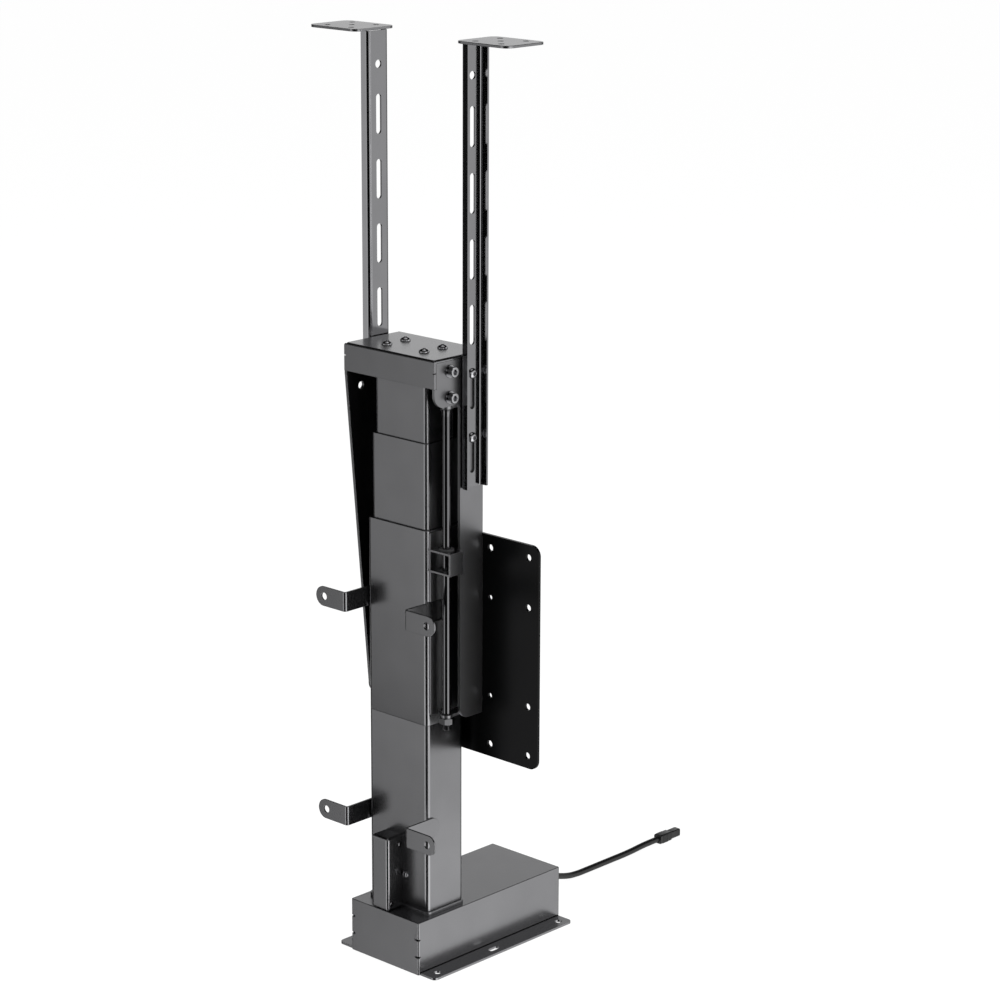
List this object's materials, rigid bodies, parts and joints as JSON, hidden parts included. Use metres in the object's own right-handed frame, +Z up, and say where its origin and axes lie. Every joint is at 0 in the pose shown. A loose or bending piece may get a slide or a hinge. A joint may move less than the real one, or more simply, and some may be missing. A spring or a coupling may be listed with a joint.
{
  "type": "tv lift mechanism",
  "caption": "Motor-driven TV lift: telescopic column on a low base, head with two arms, screen plate, guide rod and slotted lid uprights.",
  "frame": {"origin": "column axis at the underside of the base", "axes": "+Z up along the column, -Y towards the screen side, +X towards the left arm"},
  "size_m": [0.2653, 0.4786, 0.9184],
  "materials": {
    "black_powder_coat": "semi-gloss black powder coat on folded steel",
    "black_oxide_steel": "blackened steel fasteners and rod, glossy",
    "zinc_plated_steel": "bright zinc plate",
    "cast_zinc": "as cast",
    "bronze": "machined",
    "black_nylon": "moulded, matte",
    "lead_jacket": "smooth black PVC",
    "circuit_board": "green solder mask"
  },
  "bodies": {
    "base": {"base_plate": "black_powder_coat", "base_cover": "black_powder_coat", "base_screws": "zinc_plated_steel", "control_board": "circuit_board", "lead_gland": "black_nylon", "power_lead": "lead_jacket", "lead_plug": "lead_jacket", "motor": "zinc_plated_steel", "motor_worm": "zinc_plated_steel", "gearbox": "cast_zinc", "gearbox_bearings": "zinc_plated_steel", "support_tube": "zinc_plated_steel", "base_nut": "bronze", "foot_plate": "black_powder_coat", "foot_screws": "zinc_plated_steel", "foot_nuts": "zinc_plated_steel", "pedestal_tube": "black_powder_coat", "outer_tube": "black_powder_coat", "outer_glides": "black_nylon", "guide_plate": "black_powder_coat", "guide_bracket": "black_powder_coat", "guide_bushes": "black_nylon", "wall_bracket_upper_left": "black_powder_coat", "wall_bracket_upper_right": "black_powder_coat", "wall_bracket_lower_left": "black_powder_coat", "wall_bracket_lower_right": "black_powder_coat", "receiver_box": "black_powder_coat", "receiver_board": "circuit_board", "receiver_screws": "black_oxide_steel", "column_screw": "black_oxide_steel"},
    "drive": {"drive_shaft": "zinc_plated_steel", "worm_wheel": "bronze"},
    "mid_stage": {"mid_tube": "black_powder_coat", "mid_glides": "black_nylon", "mid_end_plate": "zinc_plated_steel", "thrust_bearing": "zinc_plated_steel"},
    "spindle": {"inner_spindle": "zinc_plated_steel", "outer_spindle": "zinc_plated_steel"},
    "carriage": {"inner_tube": "black_powder_coat", "lift_nut": "black_nylon", "inner_cap": "zinc_plated_steel", "head_bracket": "black_powder_coat", "head_screws": "black_oxide_steel", "arm_right": "black_powder_coat", "arm_left": "black_powder_coat", "arm_bolts": "black_oxide_steel", "arm_washers": "black_oxide_steel", "weld_nuts": "zinc_plated_steel", "guide_rod": "black_oxide_steel", "rod_nut": "black_oxide_steel", "back_plate": "black_powder_coat", "vesa_plate": "black_powder_coat", "upright_bolts": "black_oxide_steel", "upright_nuts": "zinc_plated_steel"},
    "lid_upright_left": {"upright_left": "black_powder_coat", "lid_plate_left": "black_powder_coat"},
    "lid_upright_right": {"upright_right": "black_powder_coat", "lid_plate_right": "black_powder_coat"}
  },
  "joints": [
    {"name": "mid_slide", "type": "slide", "parent": "base", "child": "mid_stage", "axis": [0, 0, 1], "range_m": [-0.0625, 0.0625]},
    {"name": "head_slide", "type": "slide", "parent": "mid_stage", "child": "carriage", "axis": [0, 0, 1], "range_m": [-0.0625, 0.0625]},
    {"name": "drive_turn", "type": "hinge", "parent": "base", "child": "drive", "pos_m": [0, 0, 0], "axis": [0, 0, 1], "range_deg": [-1880, 1880]},
    {"name": "spindle_turn", "type": "hinge", "parent": "mid_stage", "child": "spindle", "pos_m": [0, 0, 0], "axis": [0, 0, 1], "range_deg": [-1880, 1880]},
    {"name": "left_upright_slide", "type": "slide", "parent": "carriage", "child": "lid_upright_left", "axis": [0, 0, 1], "range_m": [0, 0.03]},
    {"name": "right_upright_slide", "type": "slide", "parent": "carriage", "child": "lid_upright_right", "axis": [0, 0, 1], "range_m": [0, 0.03]}
  ],
  "couplings": [
    {"joint": "head_slide", "follows": "mid_slide", "ratio": 1},
    {"joint": "drive_turn", "follows": "mid_slide", "rad_per_m": 523.6},
    {"joint": "spindle_turn", "follows": "mid_slide", "rad_per_m": 523.6}
  ]
}
